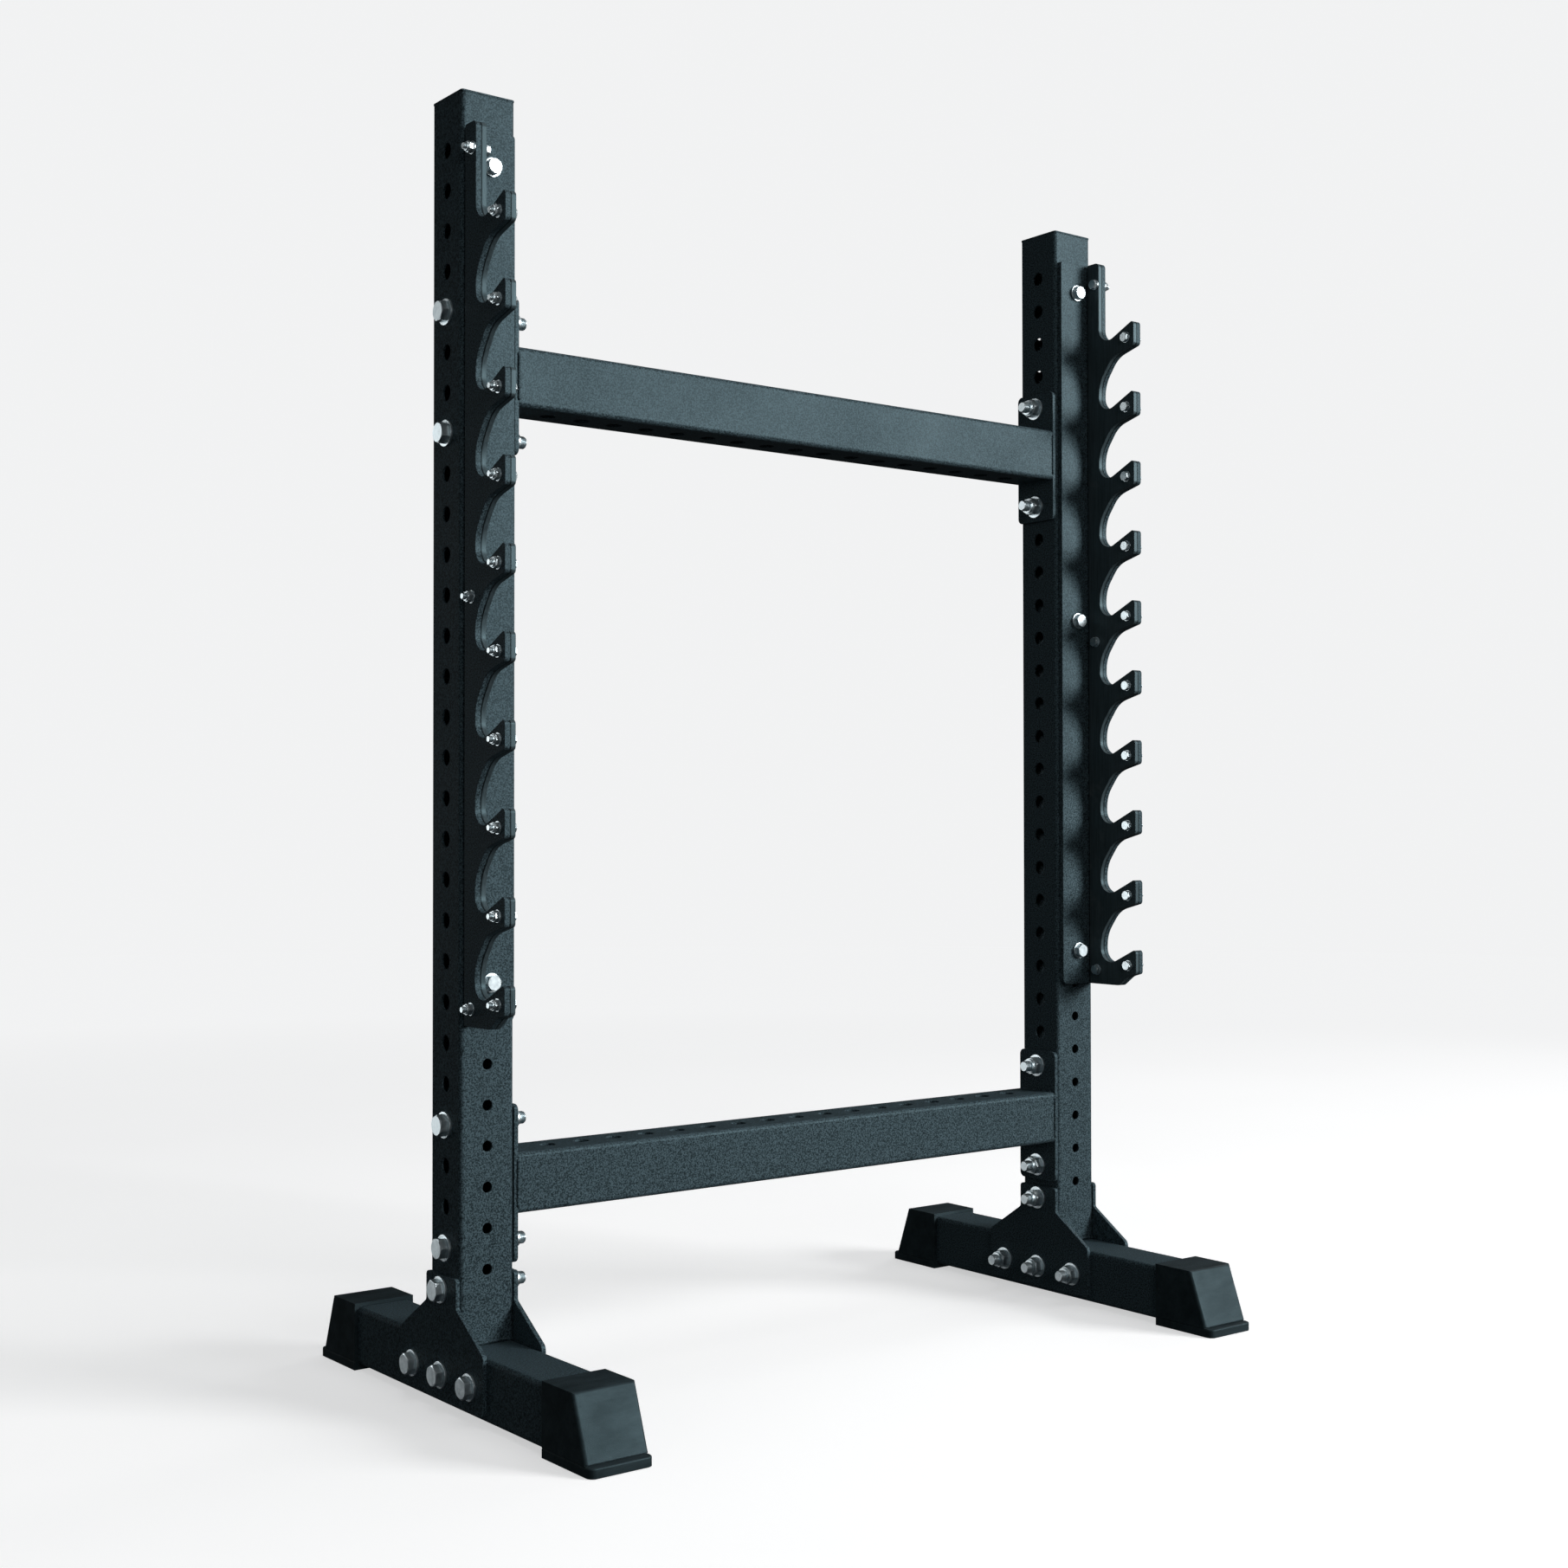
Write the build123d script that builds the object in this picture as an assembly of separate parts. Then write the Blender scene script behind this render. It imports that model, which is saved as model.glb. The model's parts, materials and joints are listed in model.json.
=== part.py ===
from build123d import *
import os
from math import atan2, cos, hypot, pi, radians, sin, tan

os.makedirs("parts", exist_ok=True)

# A free-standing rack that stores loaded or bare bars one above another.
# Two square posts stand on foot tubes and are tied together by two crossmembers. Each post carries
# a bent steel hook plate with a plastic liner, and the two hook plates face each other as a pair.
# Millimetres, +Z up, X along the crossmembers, -Y the side the hooks reach out to.
# The origin is the middle of the footprint, on the ground.

# ---------------------------------------------------------------- driving dimensions

# square tube used for posts, feet and crossmembers
TUBE = 75.0
WALL = 3.0
TUBE_CORNER = 6.0
HALF = TUBE / 2

# overall layout
POST_SPACING = 1015.0          # post centre to post centre
FOOT_SOLE = 7.0                # rubbery sole under the foot tube
FOOT_TOP = FOOT_SOLE + TUBE
POST_TOP = 1613.0              # top end of the post tube
END_PLATE = 3.0                # plates that close both ends of a post
END_PLATE_CORNER = 4.0

# hole pattern of the posts
HOLE_PITCH = 50.0
TOP_SIDE_HOLE = 1548.0         # highest hole through the side faces
SIDE_HOLE_D = 20.0
SIDE_HOLES = 29
FACE_HOLE_D = 13.5
FACE_HOLES = 28
TOP_FACE_HOLE = TOP_SIDE_HOLE - HOLE_PITCH / 2

# crossmembers
UPPER_BEAM_Z = 1273.0
LOWER_BEAM_Z = 273.0
BEAM_HOLE_D = 21.0
BEAM_HOLES = 17
FLANGE_HEIGHT = 195.0
FLANGE_T = 6.0
FLANGE_CORNER = 8.0
FLANGE_BOLT_OFFSET = 75.0      # bolt above and below the middle of the crossmember

# gusset plates that clamp a post to its foot
GUSSET_T = 6.0
GUSSET_TOP = 166.0
GUSSET_SHOULDER = 130.0
GUSSET_WING = 86.0
GUSSET_BOTTOM = 14.0
GUSSET_HALF = 104.0
GUSSET_CORNER = 5.0
GUSSET_WING_CORNER = 10.0
FOOT_BOLT_PITCH = 72.0
TAB_BOLT_Z = TOP_SIDE_HOLE - (SIDE_HOLES - 1) * HOLE_PITCH

# foot tubes and the moulded boots on their ends
FOOT_TUBE_LENGTH = 594.0
BOOT_WALL = 5.0
BOOT_START = 237.0             # inner end of a boot, measured along the foot from its middle
BOOT_TOP_END = 302.0
BOOT_SLOPE_END = 329.5
BOOT_TIP = 340.0
BOOT_LIP = 11.5
BOOT_GROOVE = 1.5
BOOT_GROOVE_DEPTH = 3.0
BOOT_CORNER = 9.0
BOOT_EDGE = 2.0
BOOT_NOSE_R = 5.0

# hook plates (steel bracket and plastic liner)
BRACKET_T = 8.0
BRACKET_INSET = 1.0            # the bracket's outer face stands this far inside the post's side
BEND_INSIDE = 2.0
LINER_T = 6.8
LINER_GAP = 2.5                # from the bracket's mounting flange to the liner's rear edge
HOLDER_TOP = 1568.5
HOLDER_BOTTOM = 472.5
HOLDER_FLANGE_W = 69.0
FLANGE_TOP_R = 5.0
SPINE_TOP_R = 7.0
FLANGE_BOTTOM_R = 10.0

HOOKS = 10
HOOK_PITCH = 104.5
TOP_TIP_BOLT_Z = 1444.0
TIP_BOLT_Y = -127.0
SPINE_Y = -71.0                # front of the spine that joins the hooks
TIP_Y = -142.0                 # front of the hooks
SADDLE_DROP = 9.0              # sharp corner of the saddle below the tip bolt
SADDLE_R = 20.0
RAMP_ANGLE = 25.6              # floor of the saddle climbs to the tip
TIP_BEVEL = 3.5
TIP_BEVEL_DROP = 3.8
TIP_R = 3.5
TIP_FRONT_R = 5.0
TIP_FOOT = 12.1                # lower corner of the tip below the tip bolt
UNDERSIDE_ANGLE = 15.1
KNEE_Y = -98.0
KNEE_R = 40.0
ROOT_ANGLE = 53.8
ROOT_R = 50.0
LAST_KNEE_Y = -126.0
LAST_KNEE_R = 15.0
LAST_HEEL_Y = -106.5
LAST_HEEL_R = 6.0

LINER_BOLT_Y = -63.0           # three liner bolts in the spine
SPINE_BOLT_Z_TOP = 1536.0
SPINE_BOLT_Z_MID = 991.0
SPINE_BOLT_Z_LOW = 494.0
MOUNT_BOLT_STEP = 500.0        # the bracket hangs on every tenth front hole
MOUNT_BOLTS = 3

# fasteners: heavy, medium and light class (shank, across flats, head, washer, nut)
CLEARANCE = 1.0                # hole larger than the shank
NUT_GAP = 0.2                  # bore of a nut larger than the shank
M16 = dict(d=16.0, af=24.0, head=10.0, washer=33.0, washer_t=3.0, nut=12.0, collar=4.0, stud=10.0)
M12 = dict(d=12.0, af=18.0, head=7.5, washer=24.0, washer_t=2.5, nut=9.5, collar=3.5, stud=7.0)
M8 = dict(d=8.0, af=13.0, head=5.3, washer=16.0, washer_t=1.6, nut=6.0, collar=2.4, stud=4.0)
HEX_CHAMFER = 0.12             # corner chamfer as a share of the head height
HEX_CHAMFER_LEAST = 0.2        # added to every corner chamfer
COLLAR_SHARE = 0.86            # nut collar diameter as a share of the flats

SIDES = {"left": -1, "right": 1}
ON_FLOOR = (Align.CENTER, Align.CENTER, Align.MIN)     # centred in plan, standing on z = 0


# ---------------------------------------------------------------- small helpers

def save(name, shape):
    """Write one named piece, or one group of equal pieces, as a STEP file."""
    if isinstance(shape, list):
        shape = Compound(shape)
    export_step(shape, f"parts/{name}.step")


def block(x0, x1, y0, y1, z0, z1):
    """Plain block between two corners."""
    size = Box(x1 - x0, y1 - y0, z1 - z0, align=(Align.MIN, Align.MIN, Align.MIN))
    return Pos(x0, y0, z0) * size


def along(axis, start, radius, length, a, b):
    """Round bar along X or Y from start; (a, b) are its other two coordinates in X, Y, Z order."""
    bar = Cylinder(radius, length, align=ON_FLOOR)
    if axis == "x":
        return Pos(start, a, b) * Rot(0, 90, 0) * bar
    return Pos(a, start, b) * Rot(-90, 0, 0) * bar


def square_tube(length):
    """Hollow square section standing on z = 0 with rolled corners."""
    outside = extrude(RectangleRounded(TUBE, TUBE, TUBE_CORNER), amount=length)
    bore = TUBE - 2 * WALL
    inside = extrude(RectangleRounded(bore, bore, TUBE_CORNER - WALL), amount=length)
    return outside - inside


def rounded_face(corners):
    """Flat outline in the YZ plane; each corner (y, z, radius) is rounded by a tangent arc."""
    edges = []
    previous_end = None
    first_start = None
    count = len(corners)
    for i in range(count):
        y, z, radius = corners[i]
        before = corners[i - 1]
        after = corners[(i + 1) % count]
        back = hypot(before[0] - y, before[1] - z)
        ahead = hypot(after[0] - y, after[1] - z)
        u = ((before[0] - y) / back, (before[1] - z) / back)
        v = ((after[0] - y) / ahead, (after[1] - z) / ahead)
        turn = abs(atan2(u[0] * v[1] - u[1] * v[0], u[0] * v[0] + u[1] * v[1]))
        reach = radius / tan(turn / 2)
        start = (0, y + u[0] * reach, z + u[1] * reach)
        end = (0, y + v[0] * reach, z + v[1] * reach)
        if previous_end is not None:
            edges.append(Edge.make_line(previous_end, start))
        else:
            first_start = start
        if radius > 0:
            to_centre = radius / sin(turn / 2)
            length = hypot(u[0] + v[0], u[1] + v[1])
            bisector = ((u[0] + v[0]) / length, (u[1] + v[1]) / length)
            sag = to_centre - radius
            middle = (0, y + bisector[0] * sag, z + bisector[1] * sag)
            edges.append(Edge.make_three_point_arc(start, middle, end))
        previous_end = end
    edges.append(Edge.make_line(previous_end, first_start))
    return Face(Wire(edges))


def slab(corners, x0, x1):
    """Plate between x0 and x1 whose outline is given in the YZ plane."""
    return Pos(x0, 0, 0) * extrude(rounded_face(corners), amount=x1 - x0, dir=(1, 0, 0))


def solids_of(shape):
    """The shape as one plain solid."""
    return shape.solids()[0]


# ---------------------------------------------------------------- fasteners
# Every fastener is made along +Z with the joint's outer face at z = 0, then turned into place.

def hexagon(af, height):
    """Hexagonal prism on z = 0 with its upper corners turned off."""
    prism = extrude(RegularPolygon(af / 2, 6, major_radius=False), amount=height)
    corner = af / cos(radians(30)) / 2
    turned = Cylinder(corner, height, align=ON_FLOOR)
    rim = turned.edges().sort_by(Axis.Z)[-1]
    down = HEX_CHAMFER * height + HEX_CHAMFER_LEAST
    inward = 2 * HEX_CHAMFER * height + HEX_CHAMFER_LEAST
    return prism & chamfer(rim, down, inward)


def bolt_z(size, grip):
    """Hex bolt: head above the washer at z = 0, shank running down through the grip and nut."""
    head = Pos(0, 0, size["washer_t"]) * hexagon(size["af"], size["head"])
    reach = grip + size["washer_t"] + size["nut"] + size["collar"] + size["stud"]
    length = reach + size["washer_t"]
    shank = Pos(0, 0, -reach) * Cylinder(size["d"] / 2, length, align=ON_FLOOR)
    return solids_of(head + shank)


def washer_z(size):
    """Flat ring lying on z = 0."""
    disc = Cylinder(size["washer"] / 2, size["washer_t"], align=ON_FLOOR)
    bore = Cylinder((size["d"] + CLEARANCE) / 2, size["washer_t"], align=ON_FLOOR)
    return solids_of(disc - bore)


def nut_z(size, grip):
    """Lock nut under the far washer: hexagon next to the washer, round collar below it."""
    body = hexagon(size["af"], size["nut"])
    collar = Cylinder(COLLAR_SHARE * size["af"] / 2, size["collar"], align=ON_FLOOR)
    bore = Cylinder((size["d"] + NUT_GAP) / 2, size["nut"] + size["collar"], align=ON_FLOOR)
    nut = body + Pos(0, 0, size["nut"]) * collar - bore
    return solids_of(Pos(0, 0, -grip - size["washer_t"]) * Rot(180, 0, 0) * nut)


def fastener_set(size, grip, places):
    """Bolts, washers and nuts at a list of locations whose +Z points out of the head side."""
    bolt = bolt_z(size, grip)
    washer = washer_z(size)
    nut = nut_z(size, grip)
    far = Pos(0, 0, -grip - size["washer_t"])
    bolts = [place * bolt for place in places]
    near_washers = [place * washer for place in places]
    far_washers = [place * far * washer for place in places]
    nuts = [place * nut for place in places]
    return bolts, near_washers + far_washers, nuts


def save_fasteners(name, size, grip, places):
    """One node each for the bolts, the washers and the nuts of one joint."""
    bolts, washers, nuts = fastener_set(size, grip, places)
    save(f"{name}_bolts", bolts)
    save(f"{name}_washers", washers)
    save(f"{name}_nuts", nuts)


# ---------------------------------------------------------------- posts

def post(x):
    """Upright tube punched through both pairs of faces, the two patterns half a pitch apart."""
    base = FOOT_TOP + END_PLATE
    tube = Pos(x, 0, base) * square_tube(POST_TOP - base)
    holes = []
    for i in range(SIDE_HOLES):
        z = TOP_SIDE_HOLE - i * HOLE_PITCH
        holes.append(along("x", x - TUBE, SIDE_HOLE_D / 2, 2 * TUBE, 0, z))
    for i in range(FACE_HOLES):
        z = TOP_FACE_HOLE - i * HOLE_PITCH
        holes.append(along("y", -TUBE, FACE_HOLE_D / 2, 2 * TUBE, x, z))
    return tube - holes


for side, sign in SIDES.items():
    post_x = sign * POST_SPACING / 2
    end_plate = extrude(RectangleRounded(TUBE, TUBE, END_PLATE_CORNER), amount=END_PLATE)
    save(f"{side}_upright", post(post_x))
    save(f"{side}_upright_cap", Pos(post_x, 0, POST_TOP) * end_plate)
    save(f"{side}_upright_base_plate", Pos(post_x, 0, FOOT_TOP) * end_plate)


# ---------------------------------------------------------------- crossmembers

GAP_HALF = POST_SPACING / 2 - HALF     # inner face of a post
BEAM_HALF = GAP_HALF - FLANGE_T


def crossmember(z):
    """Horizontal tube between the flange plates, punched through its top and bottom."""
    tube = Pos(-BEAM_HALF, 0, z) * Rot(0, 90, 0) * square_tube(2 * BEAM_HALF)
    first = -(BEAM_HOLES - 1) / 2 * HOLE_PITCH
    holes = []
    for i in range(BEAM_HOLES):
        drill = Cylinder(BEAM_HOLE_D / 2, 2 * TUBE)
        holes.append(Pos(first + i * HOLE_PITCH, 0, z) * drill)
    return tube - holes


def flange_plate(sign, z):
    """Bolting plate welded to one end of a crossmember."""
    half = FLANGE_HEIGHT / 2
    corners = [
        (-HALF, z - half, FLANGE_CORNER),
        (HALF, z - half, FLANGE_CORNER),
        (HALF, z + half, FLANGE_CORNER),
        (-HALF, z + half, FLANGE_CORNER),
    ]
    inner, outer = sorted((sign * BEAM_HALF, sign * GAP_HALF))
    plate = slab(corners, inner, outer)
    bore = (M16["d"] + CLEARANCE) / 2
    holes = []
    for offset in (-FLANGE_BOLT_OFFSET, FLANGE_BOLT_OFFSET):
        holes.append(along("x", inner - TUBE, bore, 2 * TUBE, 0, z + offset))
    return plate - holes


for level, beam_z in {"upper": UPPER_BEAM_Z, "lower": LOWER_BEAM_Z}.items():
    save(f"{level}_crossmember", crossmember(beam_z))
    for side, sign in SIDES.items():
        save(f"{level}_{side}_flange_plate", flange_plate(sign, beam_z))

for side, sign in SIDES.items():
    places = []
    outer_face = sign * (POST_SPACING / 2 + HALF)
    for beam_z in (UPPER_BEAM_Z, LOWER_BEAM_Z):
        for offset in (-FLANGE_BOLT_OFFSET, FLANGE_BOLT_OFFSET):
            places.append(Pos(outer_face, 0, beam_z + offset) * Rot(0, sign * 90, 0))
    save_fasteners(f"{side}_crossmember", M16, TUBE + FLANGE_T, places)


# ---------------------------------------------------------------- feet

FOOT_Z = FOOT_SOLE + HALF


def foot_tube(x):
    """Foot tube along Y, drilled across for the three gusset bolts."""
    tube = Pos(x, FOOT_TUBE_LENGTH / 2, FOOT_Z) * Rot(90, 0, 0) * square_tube(FOOT_TUBE_LENGTH)
    bore = (M16["d"] + CLEARANCE) / 2
    holes = []
    for i in (-1, 0, 1):
        holes.append(along("x", x - TUBE, bore, 2 * TUBE, i * FOOT_BOLT_PITCH, FOOT_Z))
    return tube - holes


def gusset(x0, x1):
    """Plate with a tab up the post and two wings along the foot."""
    right_half = [
        (GUSSET_HALF, GUSSET_BOTTOM, GUSSET_CORNER),
        (GUSSET_HALF, GUSSET_WING, GUSSET_WING_CORNER),
        (HALF, GUSSET_SHOULDER, GUSSET_CORNER),
        (HALF, GUSSET_TOP, GUSSET_CORNER),
    ]
    left_half = [(-y, z, r) for y, z, r in reversed(right_half)]
    plate = slab(right_half + left_half, x0, x1)
    bore = (M16["d"] + CLEARANCE) / 2
    holes = [along("x", x0 - TUBE, bore, 2 * TUBE, 0, TAB_BOLT_Z)]
    for i in (-1, 0, 1):
        holes.append(along("x", x0 - TUBE, bore, 2 * TUBE, i * FOOT_BOLT_PITCH, FOOT_Z))
    return plate - holes


def boot(x, end):
    """Moulded boot on one end of a foot tube: sloping nose, groove and projecting lip."""
    top = FOOT_TOP + BOOT_WALL
    slope = (BOOT_SLOPE_END - BOOT_TOP_END) / (top - BOOT_LIP)
    nose = [
        (BOOT_START, 0, 0),
        (BOOT_START, top, 0),
        (BOOT_TOP_END, top, 0),
        (BOOT_TOP_END + slope * top, 0, 0),
    ]
    width = TUBE / 2 + BOOT_WALL
    body = slab(nose, -width, width)
    body = fillet(body.edges().filter_by(is_nose_edge), BOOT_NOSE_R)
    body = body - block(-width, width, BOOT_START, BOOT_TIP, 0, BOOT_LIP)
    groove_y = BOOT_SLOPE_END - BOOT_GROOVE_DEPTH
    body = body - block(-width, width, groove_y, BOOT_TIP, BOOT_LIP, BOOT_LIP + BOOT_GROOVE)
    lip_length = BOOT_TIP - BOOT_START
    lip_plan = RectangleRounded(2 * width, 2 * lip_length, BOOT_CORNER)
    lip = Pos(0, BOOT_START, 0) * extrude(lip_plan, amount=BOOT_LIP)
    lip = lip & block(-width, width, BOOT_START, BOOT_TIP, 0, BOOT_LIP)
    lip_top = lip.edges().group_by(Axis.Z)[-1].filter_by(lambda e: e.center().Y > BOOT_SLOPE_END)
    lip = fillet(lip_top, BOOT_EDGE)
    core_length = FOOT_TUBE_LENGTH / 2 - BOOT_START
    core = extrude(RectangleRounded(TUBE, TUBE, TUBE_CORNER), amount=core_length)
    core = Pos(0, FOOT_TUBE_LENGTH / 2, FOOT_Z) * Rot(90, 0, 0) * core
    shell = body + lip - core
    if end < 0:
        shell = Rot(0, 0, 180) * shell
    return solids_of(Pos(x, 0, 0) * shell)


def is_nose_edge(edge):
    """True for the edges of a boot's sloping nose that show from the front and above."""
    middle = edge.center()
    on_slope = middle.Y > BOOT_TOP_END + BOOT_EDGE and middle.Z > BOOT_LIP
    on_top = middle.Y > BOOT_TOP_END - BOOT_EDGE and middle.Z > FOOT_TOP
    return on_slope or on_top


for side, sign in SIDES.items():
    foot_x = sign * POST_SPACING / 2
    save(f"{side}_foot_tube", foot_tube(foot_x))
    save(f"front_{side}_boot", boot(foot_x, -1))
    save(f"rear_{side}_boot", boot(foot_x, 1))
    head_face = sign * (POST_SPACING / 2 + HALF + GUSSET_T)
    outside = sorted((head_face - sign * GUSSET_T, head_face))
    inside = sorted((sign * (GAP_HALF - GUSSET_T), sign * GAP_HALF))
    save(f"{side}_outer_gusset", gusset(outside[0], outside[1]))
    save(f"{side}_inner_gusset", gusset(inside[0], inside[1]))
    turn = Rot(0, sign * 90, 0)
    places = [Pos(head_face, 0, TAB_BOLT_Z) * turn]
    for i in (-1, 0, 1):
        places.append(Pos(head_face, i * FOOT_BOLT_PITCH, FOOT_Z) * turn)
    save_fasteners(f"{side}_foot", M16, TUBE + 2 * GUSSET_T, places)


# ---------------------------------------------------------------- hook plates
# Outlines run down the hooks from the top; heights are worked out from each tip bolt.

PLATE_X = HALF - BRACKET_INSET         # outer face of the bracket, from the post's centre
RAMP_RUN = SPINE_Y - (TIP_Y + TIP_BEVEL)
TIP_RISE = RAMP_RUN * tan(radians(RAMP_ANGLE)) - SADDLE_DROP
KNEE_DROP = TIP_FOOT + (KNEE_Y - TIP_Y) * tan(radians(UNDERSIDE_ANGLE))
ROOT_DROP = KNEE_DROP + (SPINE_Y - KNEE_Y) * tan(radians(ROOT_ANGLE))
LAST_KNEE_DROP = TIP_FOOT + (LAST_KNEE_Y - TIP_Y) * tan(radians(UNDERSIDE_ANGLE))


def hook_corners(bolt_z_height, last):
    """Corners of one hook from the saddle out round the tip and back to the spine."""
    corners = [
        (SPINE_Y, bolt_z_height - SADDLE_DROP, SADDLE_R),
        (TIP_Y + TIP_BEVEL, bolt_z_height + TIP_RISE, TIP_R),
        (TIP_Y, bolt_z_height + TIP_RISE - TIP_BEVEL_DROP, TIP_FRONT_R),
        (TIP_Y, bolt_z_height - TIP_FOOT, FLANGE_TOP_R),
    ]
    if last:
        corners.append((LAST_KNEE_Y, bolt_z_height - LAST_KNEE_DROP, LAST_KNEE_R))
        corners.append((LAST_HEEL_Y, HOLDER_BOTTOM, LAST_HEEL_R))
    else:
        corners.append((KNEE_Y, bolt_z_height - KNEE_DROP, KNEE_R))
        corners.append((SPINE_Y, bolt_z_height - ROOT_DROP, ROOT_R))
    return corners


def tip_heights():
    """Heights of the tip bolts from the top hook down."""
    return [TOP_TIP_BOLT_Z - i * HOOK_PITCH for i in range(HOOKS)]


def comb_outline(rear_y, rear_radius):
    """Closed outline of the whole comb of hooks, with a straight rear edge at rear_y."""
    corners = [
        (rear_y, HOLDER_TOP, rear_radius),
        (SPINE_Y, HOLDER_TOP, SPINE_TOP_R),
    ]
    heights = tip_heights()
    for height in heights:
        corners.extend(hook_corners(height, height == heights[-1]))
    corners.append((rear_y, HOLDER_BOTTOM, rear_radius))
    return corners


def light_bolt_places():
    """(y, z) of every bolt that holds a liner on its bracket."""
    places = [(TIP_BOLT_Y, z) for z in tip_heights()]
    for z in (SPINE_BOLT_Z_TOP, SPINE_BOLT_Z_MID, SPINE_BOLT_Z_LOW):
        places.append((LINER_BOLT_Y, z))
    return places


def mount_bolt_heights():
    """Heights of the bolts that hang a bracket on its post."""
    return [TOP_FACE_HOLE - i * MOUNT_BOLT_STEP for i in range(MOUNT_BOLTS)]


def bracket():
    """Right-hand steel bracket with the post centre at X = 0: comb, bend and mounting flange."""
    bend_y = -HALF - BRACKET_T - BEND_INSIDE
    comb = slab(comb_outline(bend_y, 0), PLATE_X - BRACKET_T, PLATE_X)
    outer_r = BRACKET_T + BEND_INSIDE
    height = HOLDER_TOP - HOLDER_BOTTOM
    ring = Cylinder(outer_r, height, align=ON_FLOOR) - Cylinder(BEND_INSIDE, height, align=ON_FLOOR)
    bend = ring & block(0, outer_r, 0, outer_r, 0, height)
    bend = Pos(PLATE_X - outer_r, bend_y, HOLDER_BOTTOM) * bend
    free_x = PLATE_X - HOLDER_FLANGE_W
    bend_x = PLATE_X - outer_r
    middle_z = (HOLDER_TOP + HOLDER_BOTTOM) / 2
    flange = block(free_x, bend_x, -HALF - BRACKET_T, -HALF, HOLDER_BOTTOM, HOLDER_TOP)
    free_edges = flange.edges().filter_by(Axis.Y).filter_by(lambda e: e.center().X < free_x + 1)
    flange = fillet([e for e in free_edges if e.center().Z > middle_z], FLANGE_TOP_R)
    free_edges = flange.edges().filter_by(Axis.Y).filter_by(lambda e: e.center().X < free_x + 1)
    flange = fillet([e for e in free_edges if e.center().Z < middle_z], FLANGE_BOTTOM_R)
    body = comb + bend + flange
    holes = []
    for y, z in light_bolt_places():
        holes.append(along("x", 0, (M8["d"] + CLEARANCE) / 2, TUBE, y, z))
    for z in mount_bolt_heights():
        holes.append(along("y", -TUBE, (M12["d"] + CLEARANCE) / 2, TUBE, 0, z))
    return solids_of(body - holes)


def liner():
    """Right-hand plastic liner with the post centre at X = 0, its rear edge clear of the bend."""
    outline = comb_outline(-HALF - BRACKET_T - LINER_GAP, BEND_INSIDE)
    plate = slab(outline, PLATE_X - BRACKET_T - LINER_T, PLATE_X - BRACKET_T)
    holes = []
    for y, z in light_bolt_places():
        holes.append(along("x", 0, (M8["d"] + CLEARANCE) / 2, TUBE, y, z))
    return solids_of(plate - holes)


def handed(shape, sign):
    """The right-hand piece moved to its post, or its mirror image on the left post."""
    if sign < 0:
        shape = mirror(shape, about=Plane.YZ)
    return Pos(sign * POST_SPACING / 2, 0, 0) * shape


right_bracket = bracket()
right_liner = liner()
for side, sign in SIDES.items():
    save(f"{side}_holder_bracket", handed(right_bracket, sign))
    save(f"{side}_holder_liner", handed(right_liner, sign))
    post_x = sign * POST_SPACING / 2
    places = []
    for z in mount_bolt_heights():
        places.append(Pos(post_x, -HALF - BRACKET_T, z) * Rot(90, 0, 0))
    save_fasteners(f"{side}_holder_mount", M12, BRACKET_T + TUBE, places)
    liner_face = sign * (POST_SPACING / 2 + PLATE_X - BRACKET_T - LINER_T)
    places = []
    for y, z in light_bolt_places():
        places.append(Pos(liner_face, y, z) * Rot(0, -sign * 90, 0))
    save_fasteners(f"{side}_liner", M8, BRACKET_T + LINER_T, places)
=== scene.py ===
# %% [markdown]
# # A bar rack: two posts, two crossmembers and two facing combs of hooks
# The steel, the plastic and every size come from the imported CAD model, which is loaded first.
# This lesson dresses it: coats and plastics as procedural materials, soft edges on the plates,
# real threads, lock nuts and weld beads, then a quiet studio around it.

# %% Load the frame
import math

import bmesh
import bpy
import numpy as np
from mathutils import Matrix, Vector
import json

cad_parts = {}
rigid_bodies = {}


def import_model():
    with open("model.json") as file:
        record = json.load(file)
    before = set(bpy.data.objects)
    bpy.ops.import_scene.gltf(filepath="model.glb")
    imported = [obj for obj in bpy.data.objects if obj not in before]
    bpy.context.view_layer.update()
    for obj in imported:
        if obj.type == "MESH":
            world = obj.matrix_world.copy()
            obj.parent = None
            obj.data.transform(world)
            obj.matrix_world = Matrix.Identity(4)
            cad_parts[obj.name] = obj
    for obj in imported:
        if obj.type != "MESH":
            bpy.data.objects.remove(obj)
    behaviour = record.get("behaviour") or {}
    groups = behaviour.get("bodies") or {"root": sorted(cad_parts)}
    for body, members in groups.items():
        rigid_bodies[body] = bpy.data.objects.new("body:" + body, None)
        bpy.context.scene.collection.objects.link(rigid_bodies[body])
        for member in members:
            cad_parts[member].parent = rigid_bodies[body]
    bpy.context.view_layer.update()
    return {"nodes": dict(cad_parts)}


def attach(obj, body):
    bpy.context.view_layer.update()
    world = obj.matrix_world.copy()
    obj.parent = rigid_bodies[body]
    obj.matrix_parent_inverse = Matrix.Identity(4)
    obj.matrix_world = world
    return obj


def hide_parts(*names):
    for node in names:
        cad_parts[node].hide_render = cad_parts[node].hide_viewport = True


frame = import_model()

MM = 0.001
nodes = frame["nodes"]
print(f"{len(nodes)} CAD nodes in the frame")

# %% [markdown]
# ## Materials
# A material here is a short chain of shader nodes read in object space, where one unit is a metre.
# Small helpers add a node, join two sockets, and stretch a noise pattern between two values.

# %% Helpers for shader nodes
SEAM_X = 0.5360  # the brackets meet their liners this far from the middle plane


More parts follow.
